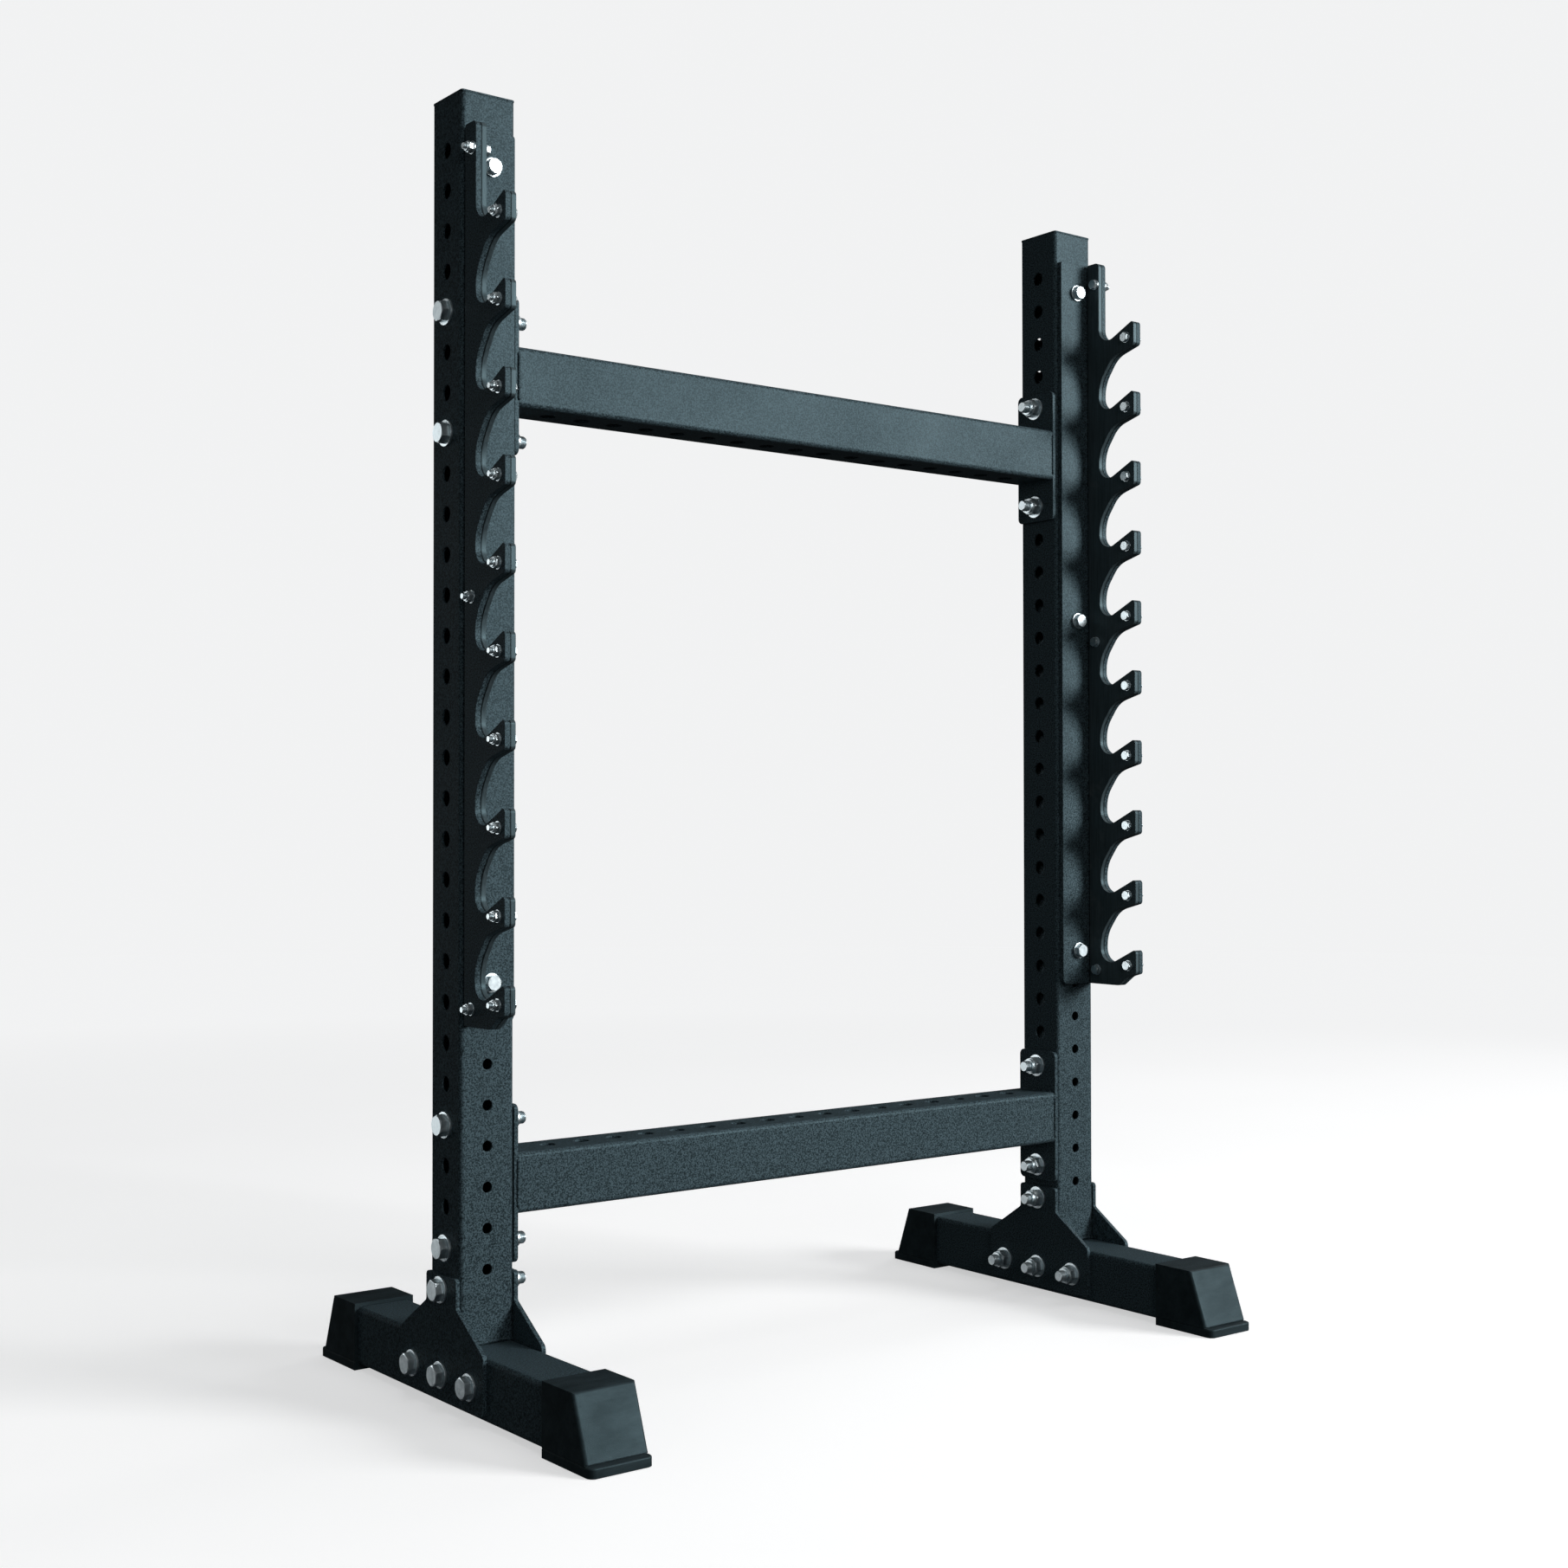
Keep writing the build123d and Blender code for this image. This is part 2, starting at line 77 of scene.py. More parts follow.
class Shader:
    """One procedural material: a principled surface plus the nodes that feed it."""

    def __init__(self, name):
        self.material = bpy.data.materials.new(name)
        self.material.use_nodes = True
        self.tree = self.material.node_tree
        self.surface = self.tree.nodes["Principled BSDF"]
        self.place = self.add("ShaderNodeTexCoord").outputs["Object"]

    def add(self, kind, **settings):
        """A new node with its settings."""
        node = self.tree.nodes.new(kind)
        for key, value in settings.items():
            setattr(node, key, value)
        return node

    def join(self, a, b):
        """A link from output socket a to input socket b."""
        self.tree.links.new(a, b)

    def noise(self, scale, detail=4.0, rough=0.55, stretch=None):
        """Noise with features about 1/scale metres across, optionally stretched along an axis."""
        node = self.add("ShaderNodeTexNoise")
        node.inputs["Scale"].default_value = scale
        node.inputs["Detail"].default_value = detail
        node.inputs["Roughness"].default_value = rough
        source = self.place
        if stretch:
            mapping = self.add("ShaderNodeMapping")
            mapping.inputs["Scale"].default_value = stretch
            self.join(self.place, mapping.inputs["Vector"])
            source = mapping.outputs["Vector"]
        self.join(source, node.inputs["Vector"])
        return node.outputs["Fac"]

    def ramp(self, value, low, high, out_low=0.0, out_high=1.0):
        """value between low and high becomes out_low to out_high, clamped."""
        node = self.add("ShaderNodeMapRange")
        node.inputs["From Min"].default_value = low
        node.inputs["From Max"].default_value = high
        node.inputs["To Min"].default_value = out_low
        node.inputs["To Max"].default_value = out_high
        self.join(value, node.inputs["Value"])
        return node.outputs["Result"]

    def math(self, operation, a, b):
        """a and b combined; b may be a number."""
        node = self.add("ShaderNodeMath", operation=operation)
        self.join(a, node.inputs[0])
        if isinstance(b, float):
            node.inputs[1].default_value = b
        else:
            self.join(b, node.inputs[1])
        return node.outputs["Value"]

    def blend(self, factor, colour_a, colour_b):
        """Colour a turning into colour b as factor goes from 0 to 1; each may be a colour or a socket."""
        node = self.add("ShaderNodeMix", data_type="RGBA")
        self.join(factor, node.inputs["Factor"])
        for socket, colour in ((node.inputs[6], colour_a), (node.inputs[7], colour_b)):
            if isinstance(colour, tuple):
                socket.default_value = (*colour, 1.0)
            else:
                self.join(colour, socket)
        return node.outputs[2]

    def bump(self, layers, edge=0.0):
        """Stacks (height, distance in metres) layers into the surface normal. With edge, the normal
        first turns gently round every sharp edge, over that distance in metres."""
        previous = None
        if edge:
            rounded = self.add("ShaderNodeBevel", samples=4)
            rounded.inputs["Radius"].default_value = edge
            previous = rounded.outputs["Normal"]
        for height, distance in layers:
            node = self.add("ShaderNodeBump")
            node.inputs["Strength"].default_value = 1.0
            node.inputs["Distance"].default_value = distance
            self.join(height, node.inputs["Height"])
            if previous:
                self.join(previous, node.inputs["Normal"])
            previous = node.outputs["Normal"]
        self.join(previous, self.surface.inputs["Normal"])

    def seam(self, colour):
        """Paints shade into colour within a millimetre of the two planes where brackets and liners touch:
        a painted shadow line standing in for the shade between their rounded edges.
        """
        split = self.add("ShaderNodeSeparateXYZ")
        self.join(self.place, split.inputs["Vector"])
        offset = self.math("SUBTRACT", self.math("ABSOLUTE", split.outputs["X"], 0.0), SEAM_X)
        apart = self.ramp(self.math("ABSOLUTE", offset, 0.0), 0.0004, 0.0015)
        # painted shade: the near-black colour along the meeting planes is shadow, not the material's own
        # colour
        return self.blend(apart, (0.0006, 0.0008, 0.0009), colour)

    def finish(self, colour, roughness, metallic=0.0, specular=0.5, tint=(1.0, 1.0, 1.0)):
        """Feeds colour and roughness sockets to the surface and returns the material."""
        self.join(colour, self.surface.inputs["Base Color"])
        self.join(roughness, self.surface.inputs["Roughness"])
        self.surface.inputs["Metallic"].default_value = metallic
        self.surface.inputs["Specular IOR Level"].default_value = specular
        self.surface.inputs["Specular Tint"].default_value = (*tint, 1.0)
        return self.material


# %% [markdown]
# ### Powder coat
# Fused powder leaves a pebbled skin, about two millimetres from bump to bump, over a slower orange peel.
# Handling leaves faint wiped patches that are a touch duller, and a few pale rub marks.

# %% Powder coat
COOL = (0.54, 0.88, 1.0)  # the coat and plastics mirror light a shade cooler than they receive it


def powder_coat(name, with_seam_shade=False):
    """Near-black textured coat with peel, pebble, wiped patches and sparse rub marks. With seam shade, a
    painted shadow darkens the coat along its meeting line with a liner."""
    s = Shader(name)
    pebble = s.noise(500.0, detail=3.0, rough=0.75)
    peel = s.noise(260.0, detail=2.0)
    patches = s.noise(7.0, detail=5.0, rough=0.6)
    cloud = s.ramp(patches, 0.35, 0.7)
    grain = s.ramp(pebble, 0.42, 0.60)
    base = s.blend(cloud, (0.0090, 0.0145, 0.0172), (0.0125, 0.0200, 0.0235))
    flecked = s.blend(s.math("MULTIPLY", grain, 0.90), base, (0.094, 0.143, 0.167))
    specks = s.ramp(s.noise(38.0, detail=9.0, rough=0.72), 0.66, 0.74)
    rubs = s.math("MULTIPLY", specks, s.ramp(patches, 0.5, 0.6))
    colour = s.blend(s.math("MULTIPLY", rubs, 0.35), flecked, (0.16, 0.19, 0.20))
    # painted shade: darkens the bracket coat along its meeting line with a liner
    if with_seam_shade:
        colour = s.seam(colour)
    smooth = s.ramp(patches, 0.3, 0.7, 0.43, 0.53)
    roughness = s.math("ADD", smooth, s.ramp(pebble, 0.3, 0.7, -0.05, 0.06))
    s.bump([(peel, 0.00010), (pebble, 0.00018)], edge=0.0013)
    return s.finish(colour, roughness, specular=0.24, tint=COOL)


coat = powder_coat("powder_coat")
comb_coat = powder_coat("powder_coat_of_the_combs", with_seam_shade=True)
print("made", coat.name, "and", comb_coat.name)

# %% [markdown]
# ### Plastics
# The liners are sawn from sheet, so they carry long faint streaks; the boots are moulded with a
# sand-grain skin and pick up grey scuffs.

# %% Plastics
def liner_plastic(name):
    """Matte black sheet with fine upright streaks and soft pale rub marks, and a painted shadow along its
    meeting line with a bracket.
    """
    s = Shader(name)
    streaks = s.noise(420.0, detail=4.0, stretch=(1.0, 1.0, 0.05))
    grain = s.noise(1100.0, detail=2.0)
    wear = s.noise(18.0, detail=6.0, rough=0.65)
    base = s.blend(s.ramp(streaks, 0.35, 0.7), (0.0400, 0.0570, 0.0640), (0.0680, 0.0950, 0.1060))
    colour = s.blend(s.math("MULTIPLY", s.ramp(wear, 0.6, 0.72), 0.5), base, (0.12, 0.14, 0.145))
    # painted shade: darkens the liner along its meeting line with a bracket
    colour = s.seam(colour)
    roughness = s.ramp(streaks, 0.3, 0.7, 0.36, 0.50)
    s.bump([(streaks, 0.00006), (grain, 0.00005)], edge=0.0014)
    return s.finish(colour, roughness, specular=0.40, tint=COOL)


def moulded_plastic(name):
    """Sand-grained black moulding, faintly streaked from side to side, with dull scuffs."""
    s = Shader(name)
    sand = s.noise(900.0, detail=3.0, rough=0.7)
    slow = s.noise(22.0, detail=6.0, rough=0.6)
    drag = s.noise(45.0, detail=8.0, rough=0.7, stretch=(0.25, 1.0, 1.0))
    base = s.blend(s.ramp(drag, 0.38, 0.66), (0.0110, 0.0165, 0.0190), (0.0290, 0.0420, 0.0480))
    specks = s.ramp(s.noise(85.0, detail=10.0, rough=0.75), 0.62, 0.70)
    scuffs = s.math("MULTIPLY", specks, s.ramp(slow, 0.52, 0.62))
    colour = s.blend(s.math("MULTIPLY", scuffs, 0.6), base, (0.11, 0.115, 0.115))
    roughness = s.math("ADD", s.ramp(slow, 0.3, 0.7, 0.46, 0.58), s.ramp(sand, 0.3, 0.7, -0.06, 0.06))
    s.bump([(sand, 0.00016)], edge=0.0012)
    return s.finish(colour, roughness, specular=0.36, tint=COOL)


sheet_plastic = liner_plastic("liner_plastic")
boot_plastic = moulded_plastic("moulded_plastic")
print("made", sheet_plastic.name, "and", boot_plastic.name)

# %% [markdown]
# ### Plated steel and nylon
# Zinc is bright but cloudy: a slow mottling, fine turning marks, and dulled patches.

# %% Plated steel
def zinc(name):
    """Bright zinc plating with mottled brightness and fine tool marks."""
    s = Shader(name)
    mottle = s.noise(160.0, detail=5.0, rough=0.6)
    marks = s.noise(2600.0, detail=2.0)
    stains = s.noise(60.0, detail=6.0, rough=0.7)
    bright = s.blend(s.ramp(mottle, 0.3, 0.7), (0.64, 0.74, 0.78), (0.82, 0.91, 0.94))
    colour = s.blend(s.math("MULTIPLY", s.ramp(stains, 0.58, 0.72), 0.5), bright, (0.38, 0.43, 0.45))
    roughness = s.math("ADD", s.ramp(mottle, 0.3, 0.7, 0.34, 0.46), s.ramp(marks, 0.3, 0.7, -0.04, 0.04))
    s.bump([(mottle, 0.00002), (marks, 0.000004)])
    return s.finish(colour, roughness, metallic=1.0)


def nylon(name):
    """Off-white nylon locking ring with a faint grain."""
    s = Shader(name)
    grain = s.noise(900.0, detail=2.0)
    colour = s.blend(s.ramp(grain, 0.3, 0.7), (0.46, 0.48, 0.47), (0.60, 0.61, 0.59))
    s.bump([(grain, 0.00005)])
    return s.finish(colour, s.ramp(grain, 0.3, 0.7, 0.4, 0.5))


plating = zinc("plated_steel")
ring_nylon = nylon("nylon_ring")
print("made", plating.name, "and", ring_nylon.name)

# %% [markdown]
# ## Steel and plastic bodies
# A CAD mesh arrives as loose triangles with knife edges. Each piece below is a merged copy of its
# node: coplanar triangles are dissolved and the sharp edges get a small real radius. The materials
# round the shading a little further, by the edge distance of their bump.

# %% Soft-edged copies of the CAD nodes
def softened(node, radius, material, segments=2):
    """A merged copy of one CAD node whose sharp edges are rounded by radius millimetres."""
    source = nodes[node]
    mesh = source.data.copy()
    mesh.name = f"{node}_soft"
    work = bmesh.new()
    work.from_mesh(mesh)
    bmesh.ops.remove_doubles(work, verts=work.verts, dist=0.01 * MM)
    bmesh.ops.dissolve_limit(work, angle_limit=math.radians(0.4), verts=work.verts, edges=work.edges)
    bmesh.ops.recalc_face_normals(work, faces=work.faces)
    work.to_mesh(mesh)
    work.free()
    mesh.materials.clear()
    mesh.materials.append(material)
    mesh.polygons.foreach_set("use_smooth", np.ones(len(mesh.polygons), dtype=bool))
    piece = bpy.data.objects.new(f"{node}_soft", mesh)
    bpy.context.scene.collection.objects.link(piece)
    bevel = piece.modifiers.new("edge_radius", "BEVEL")
    bevel.width = radius * MM
    bevel.segments = segments
    bevel.limit_method = "ANGLE"
    bevel.angle_limit = math.radians(32)
    bevel.use_clamp_overlap = True
    shading = piece.modifiers.new("flat_faces_first", "WEIGHTED_NORMAL")
    shading.mode = "FACE_AREA"
    shading.weight = 100
    shading.keep_sharp = True
    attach(piece, "root")
    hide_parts(node)
    return piece


# millimetres, for nodes whose name contains the word
EDGE_RADIUS = {"upright_cap": 1.0, "base_plate": 1.3, "flange_plate": 1.0, "gusset": 1.0, "bracket": 1.5}
TUBE_EDGE_RADIUS = 0.4
soft = []
for name in sorted(nodes):
    if name.endswith(("bolts", "washers", "nuts")):
        continue
    if "boot" in name:
        soft.append(softened(name, 0.9, boot_plastic, segments=3))
    elif name.endswith("liner"):
        soft.append(softened(name, 1.5, sheet_plastic, segments=3))
    else:
        radius = next((r for key, r in EDGE_RADIUS.items() if key in name), TUBE_EDGE_RADIUS)
        finish = comb_coat if name.endswith("bracket") else coat
        soft.append(softened(name, radius, finish))
print(f"{len(soft)} soft-edged bodies")

# %% [markdown]
# ## Surfaces from two parameters
# Every new shape is a grid of points: one parameter runs round, the other along. The grid is built
# with whole arrays, its first and last rows may close on a point, and several grids make one piece.

# %% Grid surfaces
def grid_faces(rows, columns):
    """Quads of a grid whose columns wrap round: row i, column j to its right and upper neighbours."""
    i, j = np.meshgrid(np.arange(rows - 1), np.arange(columns), indexing="ij")
    k = (j + 1) % columns
    here, above = i * columns, (i + 1) * columns
    return np.stack([here + j, here + k, above + k, above + j], axis=-1).reshape(-1, 4)


def turned(radius, height, angles):
    """Points of a turned surface: for row i and angle t the point is
    (radius[i, t] cos t, radius[i, t] sin t, height[i, t])."""
    r = np.broadcast_to(radius, np.broadcast_shapes(np.shape(radius), np.shape(height), angles.shape))
    h = np.broadcast_to(height, r.shape)
    return np.stack([r * np.cos(angles), r * np.sin(angles), h], axis=-1)


def angles_round(count):
    """Equally spaced angles round a full turn."""
    return np.linspace(0.0, 2.0 * np.pi, count, endpoint=False)


def column(values):
    """A profile as a column, ready to combine with a row of angles."""
    return np.asarray(values, dtype=float)[:, None]


# %% Pieces made of several grids
class Piece:
    """Collects grids, each placed at several spots, and turns them into one mesh object."""

    def __init__(self, name):
        self.name = name
        self.points = []
        self.faces = []
        self.slots = []
        self.count = 0

    def add(self, grid, places, slot=0):
        """One grid (rows, columns, 3) in millimetres, repeated at each 4x4 place."""
        rows, columns = grid.shape[:2]
        flat = grid.reshape(-1, 3)
        faces = grid_faces(rows, columns)
        for spot in places:
            self.points.append(flat @ spot[:3, :3].T + spot[:3, 3])
            self.faces.append(faces + self.count)
            self.slots.append(np.full(len(faces), slot))
            self.count += len(flat)

    def build(self, materials, replaces=(), sharp=24.0):
        """Makes the object, welded at its poles and riding on the root body. Edges that turn by more
        than sharp degrees stay crisp."""
        mesh = bpy.data.meshes.new(self.name)
        points = np.concatenate(self.points) * MM
        faces = np.concatenate(self.faces)
        mesh.from_pydata(points, [], faces)
        for material in materials:
            mesh.materials.append(material)
        mesh.polygons.foreach_set("material_index", np.concatenate(self.slots).astype(np.int32))
        mesh.polygons.foreach_set("use_smooth", np.ones(len(faces), dtype=bool))
        work = bmesh.new()
        work.from_mesh(mesh)
        bmesh.ops.remove_doubles(work, verts=work.verts, dist=0.002 * MM)
        bmesh.ops.recalc_face_normals(work, faces=work.faces)
        work.to_mesh(mesh)
        work.free()
        mesh.set_sharp_from_angle(angle=math.radians(sharp))
        piece = bpy.data.objects.new(self.name, mesh)
        bpy.context.scene.collection.objects.link(piece)
        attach(piece, "root")
        if replaces:
            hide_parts(*replaces)


def place(x, y, z, out, spin=0.0):
    """Turns +Z to the direction out ('+x', '-x', '+y' or '-y'), spins about it and moves to x, y, z."""
    sign = 1.0 if out[0] == "+" else -1.0
    axis = np.array([sign, 0.0, 0.0]) if out[1] == "x" else np.array([0.0, sign, 0.0])
    up = np.array([0.0, 0.0, 1.0])
    side = np.cross(up, axis)
    c, s = math.cos(spin), math.sin(spin)
    spot = np.eye(4)
    spot[:3, 0] = c * side + s * up
    spot[:3, 1] = -s * side + c * up
    spot[:3, 2] = axis
    spot[:3, 3] = (x, y, z)
    return spot


def slid(places, distance):
    """The same places moved along their own +Z by distance."""
    moved = []
    for spot in places:
        copy = spot.copy()
        copy[:3, 3] += distance * spot[:3, 2]
        moved.append(copy)
    return moved


# %% [markdown]
# ## Threads, heads, washers and lock nuts
# A hexagon is a circle whose radius swells towards six corners. A chamfer cone cuts the swelling
# off near each end, and that cut leaves the curved facets seen on a real bolt head.

# %% Shapes of the fasteners
def hexagon_radius(flats, angles):
    """Distance from the axis to a hexagon's edge: half the flats over the cosine of the angle
    to the middle of the nearest flat."""
    sixth = np.pi / 3
    return flats / 2 / np.cos((angles + sixth / 2) % sixth - sixth / 2)


CONE_START = 0.485  # radius of a chamfer cone at the end face, as a share of the flats
CONE_SLOPE = math.tan(math.radians(30))


def hex_solid(flats, z0, z1, both_ends=False, hole=0.0, count=96):
    """Hexagonal prism from z0 to z1: at each height the radius is the smaller of the hexagon and
    a 30-degree cone that starts just inside the flats' circle, at the upper end or at both ends."""
    angles = angles_round(count)
    hexed = hexagon_radius(flats, angles)[None, :]
    reach = flats / 2 / math.cos(math.pi / 6) - flats / 2
    drop = reach * CONE_SLOPE
    steps = np.linspace(0.0, 1.0, 5)
    low = z0 + steps * drop if both_ends else np.array([z0])
    high = z1 - steps[::-1] * drop
    heights = column(np.concatenate([low, high]))
    radius = np.minimum(hexed, flats * CONE_START + (z1 - heights) / CONE_SLOPE)
    if both_ends:
        radius = np.minimum(radius, flats * CONE_START + (heights - z0) / CONE_SLOPE)
    inner = np.full((1, count), hole)
    radius = np.concatenate([inner, radius, inner])
    heights = np.concatenate([column([z0]), heights, column([z1])])
    if hole:
        radius = np.concatenate([radius, inner])
        heights = np.concatenate([heights, column([z0])])
    return turned(radius, heights, angles)


def threaded_rod(diameter, pitch, z0, z1, count=40, per_turn=8):
    """Threaded rod: radius falls from the crest to the root and back once per pitch along the
    axis, and the whole wave climbs one pitch per turn; the thread at z0 tapers to a chamfered tip."""
    angles = angles_round(count)
    heights = column(np.linspace(z0, z1, max(3, int((z1 - z0) / pitch * per_turn)) + 1))
    phase = (heights / pitch - angles / (2 * np.pi)) % 1.0
    wave = np.clip(np.abs(phase - 0.5) * 2.4 - 0.1, 0.0, 1.0)
    depth = 0.6 * pitch
    taper = np.clip(1.0 - (heights - z0) / (0.8 * pitch), 0.0, 1.0)
    radius = diameter / 2 - depth * (1.0 - wave) * (1.0 - taper) - taper * depth
    zero = np.zeros((1, count))
    radius = np.concatenate([zero, radius, zero])
    heights = np.concatenate([column([z0]), heights, column([z1])])
    return turned(radius, heights, angles)


def plain_ring(inner, outer, z0, z1, edge, count=64):
    """Flat ring whose profile is a rectangle with quarter-round outer corners of radius edge."""
    turn = np.linspace(0.0, np.pi / 2, 6)
    low = [(outer - edge + edge * math.sin(a), z0 + edge - edge * math.cos(a)) for a in turn]
    high = [(outer - edge + edge * math.cos(a), z1 - edge + edge * math.sin(a)) for a in turn]
    profile = np.array([(inner, z0), *low, *high, (inner, z1), (inner, z0)])
    return turned(column(profile[:, 0]), column(profile[:, 1]), angles_round(count))


NYLON_WALL = 0.10  # thickness of a lock nut's nylon ring, as a share of the flats


def lock_collar(flats, bore, z0, z1, count=64):
    """Round collar above a lock nut's hexagon: a wall that curls inwards over the nylon ring."""
    outer = flats * 0.43
    foot = (outer + 0.02 * flats, z0 - 0.2)
    lip = 0.12 * flats
    curl = np.linspace(0.0, np.pi / 2, 6)
    wall = [foot, (outer, z0 + 0.25 * (z1 - z0))]
    rolled = [(outer - lip * (1 - math.cos(a)), z1 - lip * 0.6 * (1 - math.sin(a))) for a in curl]
    seat = bore / 2 + NYLON_WALL * flats
    inside = [(seat, z1 - 0.25), (seat, z0), (outer - lip, z0 - 0.2)]
    profile = np.array([*wall, *rolled, *inside, foot])
    return turned(column(profile[:, 0]), column(profile[:, 1]), angles_round(count))


# %% Fastener sizes, in millimetres
POST_X = 507.5  # from the middle plane to a post's axis
HALF = 37.5  # half the width of the square tube
SIDE_SIGNS = {"left": -1.0, "right": 1.0}
WASHER_FACE = 0.4  # the thin round face under a bolt's head
# d is the bolt's diameter, head and nut are thicknesses, washer is a diameter, washer_t its
# thickness, and stud is how far the bolt stands out of the nut's collar
M16 = dict(d=16.0, pitch=2.0, flats=24.0, head=10.0, washer=33.0, washer_t=3.0)
M16 |= dict(nut=12.0, collar=4.0, stud=10.0)
M12 = dict(d=12.0, pitch=1.75, flats=18.0, head=7.5, washer=24.0, washer_t=2.5)
M12 |= dict(nut=9.5, collar=3.5, stud=7.0)
M8 = dict(d=8.0, pitch=1.25, flats=13.0, head=5.3, washer=16.0, washer_t=1.6)
M8 |= dict(nut=6.0, collar=2.4, stud=4.0)


def bolts_piece(name, size, grip, places):
    """Bolts at places: chamfered head on a thin washer face, and a threaded stud past the nut."""
    piece = Piece(f"{name}_bolts_detailed")
    w = size["washer_t"]
    face = plain_ring(0.5, size["flats"] * 0.48, w, w + WASHER_FACE, 0.15)
    head = hex_solid(size["flats"], w + WASHER_FACE, w + size["head"])
    reach = grip + w + size["nut"] + size["collar"] + size["stud"]
    stud = threaded_rod(size["d"], size["pitch"], -reach, -grip + size["washer_t"])
    shank = plain_ring(0.3, size["d"] / 2 - 0.2, -grip + w, w, 0.1, count=32)
    for grid in (face, head, stud, shank):
        piece.add(grid, places)
    piece.build([plating], replaces=(f"{name}_bolts",))


def washers_piece(name, size, grip, places):
    """A washer under every head and every nut."""
    piece = Piece(f"{name}_washers_detailed")
    ring = plain_ring(size["d"] / 2 + 0.5, size["washer"] / 2, 0.0, size["washer_t"], 0.35)
    piece.add(ring, places)
    piece.add(ring, slid(places, -grip - size["washer_t"]))
    piece.build([plating], replaces=(f"{name}_washers",))


def nuts_piece(name, size, grip, places):
    """Lock nuts: a hexagon chamfered at both ends, a curled collar and the nylon ring inside it."""
    piece = Piece(f"{name}_nuts_detailed")
    turn_over = np.diag([1.0, -1.0, -1.0, 1.0])
    under = [spot @ turn_over for spot in slid(places, -grip - size["washer_t"])]
    bore = size["d"] + 0.2
    height = size["nut"] + size["collar"]
    piece.add(hex_solid(size["flats"], 0.0, size["nut"], both_ends=True, hole=bore / 2), under)
    piece.add(lock_collar(size["flats"], bore, size["nut"], height), under)
    outer = bore / 2 + NYLON_WALL * size["flats"] - 0.05
    piece.add(plain_ring(bore / 2, outer, size["nut"], height - 0.6, 0.2, count=48), under, slot=1)
    piece.build([plating, ring_nylon], replaces=(f"{name}_nuts",))


def dress_joint(name, size, grip, places):
    """Replaces one joint's plain CAD fasteners with detailed ones."""
    bolts_piece(name, size, grip, places)
    washers_piece(name, size, grip, places)
    nuts_piece(name, size, grip, places)


# %% [markdown]
# Each joint's places follow the hole pattern. Every head and nut is left at its own angle, as a
# spanner leaves them.

# %% Put the fasteners in
chance = np.random.default_rng(11)


def spins(count):
    """A turning angle for each fastener."""
    return chance.uniform(0.0, np.pi / 3, count)


BEAM_HEIGHTS = (1273.0, 273.0)  # the crossmembers' axes
FLANGE_STEP = 75.0  # from a crossmember's axis up or down to its bolts
GUSSET = 6.0
GUSSET_POST_BOLT = 148.0
FOOT_BOLT_HEIGHT = 44.5
FOOT_BOLT_STEP = 72.0
BRACKET = 8.0
BRACKET_TOP_BOLT = 1523.0
BRACKET_BOLT_STEP = 500.0
COMB = 14.8  # a bracket's sheet with its liner
COMB_SET_BACK = 1.0  # how far a bracket's outer face lies inside the post's outer face
TIP_TOP = 1444.0  # the bolt in the highest hook's tip
HOOK_PITCH = 104.5
GRIP = {"crossmember": 81.0, "foot": 87.0, "holder_mount": 83.0, "liner": COMB}
liner_spots = [(-127.0, TIP_TOP - HOOK_PITCH * i) for i in range(10)]
liner_spots += [(-63.0, 1536.0), (-63.0, 991.0), (-63.0, 494.0)]
for side, sign in SIDE_SIGNS.items():
    out = "+x" if sign > 0 else "-x"
    back = "-x" if sign > 0 else "+x"
    outer = sign * (POST_X + HALF)
    heights = [h + step for h in BEAM_HEIGHTS for step in (-FLANGE_STEP, FLANGE_STEP)]
    spots = [place(outer, 0.0, z, out, a) for z, a in zip(heights, spins(4))]
    dress_joint(f"{side}_crossmember", M16, GRIP["crossmember"], spots)
    outer = sign * (POST_X + HALF + GUSSET)
    spots = [place(outer, 0.0, GUSSET_POST_BOLT, out, 0.35)]
    for i, a in zip((-1, 0, 1), spins(3)):
        spots.append(place(outer, FOOT_BOLT_STEP * i, FOOT_BOLT_HEIGHT, out, a))
    dress_joint(f"{side}_foot", M16, GRIP["foot"], spots)
    heights = [BRACKET_TOP_BOLT - BRACKET_BOLT_STEP * i for i in range(3)]
    spots = [place(sign * POST_X, -HALF - BRACKET, z, "-y", a) for z, a in zip(heights, spins(3))]
    dress_joint(f"{side}_holder_mount", M12, GRIP["holder_mount"], spots)
    inner = sign * (POST_X + HALF - COMB_SET_BACK - COMB)
    spots = [place(inner, y, z, back, a) for (y, z), a in zip(liner_spots, spins(13))]
    dress_joint(f"{side}_liner", M8, GRIP["liner"], spots)
print("fasteners in place")

# %% [markdown]
# ## Welds
# A weld bead is a half-round ridge swept along a joint, its height rippled once per puddle.

# %% Weld beads
def bead(path, normal, width, ripple, count=10):
    """Half-round ridge along a path of points: across the ridge the section is a semicircle
    facing away from the joint, and its size swells and sinks with a rounded wave along the path."""
    path = np.asarray(path)
    steps = np.linalg.norm(np.diff(path, axis=0), axis=1)
    run = np.concatenate([[0.0], np.cumsum(steps)])
    ahead = np.gradient(path, axis=0)
    ahead /= np.linalg.norm(ahead, axis=1)[:, None]
    normal = np.asarray(normal, dtype=float)
    across = np.cross(ahead, normal)
    across /= np.linalg.norm(across, axis=1)[:, None]
    size = width * (1.0 + 0.16 * np.abs(np.sin(np.pi * run / ripple)) + 0.05 * np.sin(run * 0.9))
    ends = np.minimum(run, run[-1] - run)
    size = size * np.sqrt(np.clip(ends / (1.2 * width), 0.0, 1.0))
    turn = angles_round(count)[None, :, None]
    lift = size[:, None, None] * (np.sin(turn) * normal + np.cos(turn) * across[:, None, :])
    return path[:, None, :] + lift


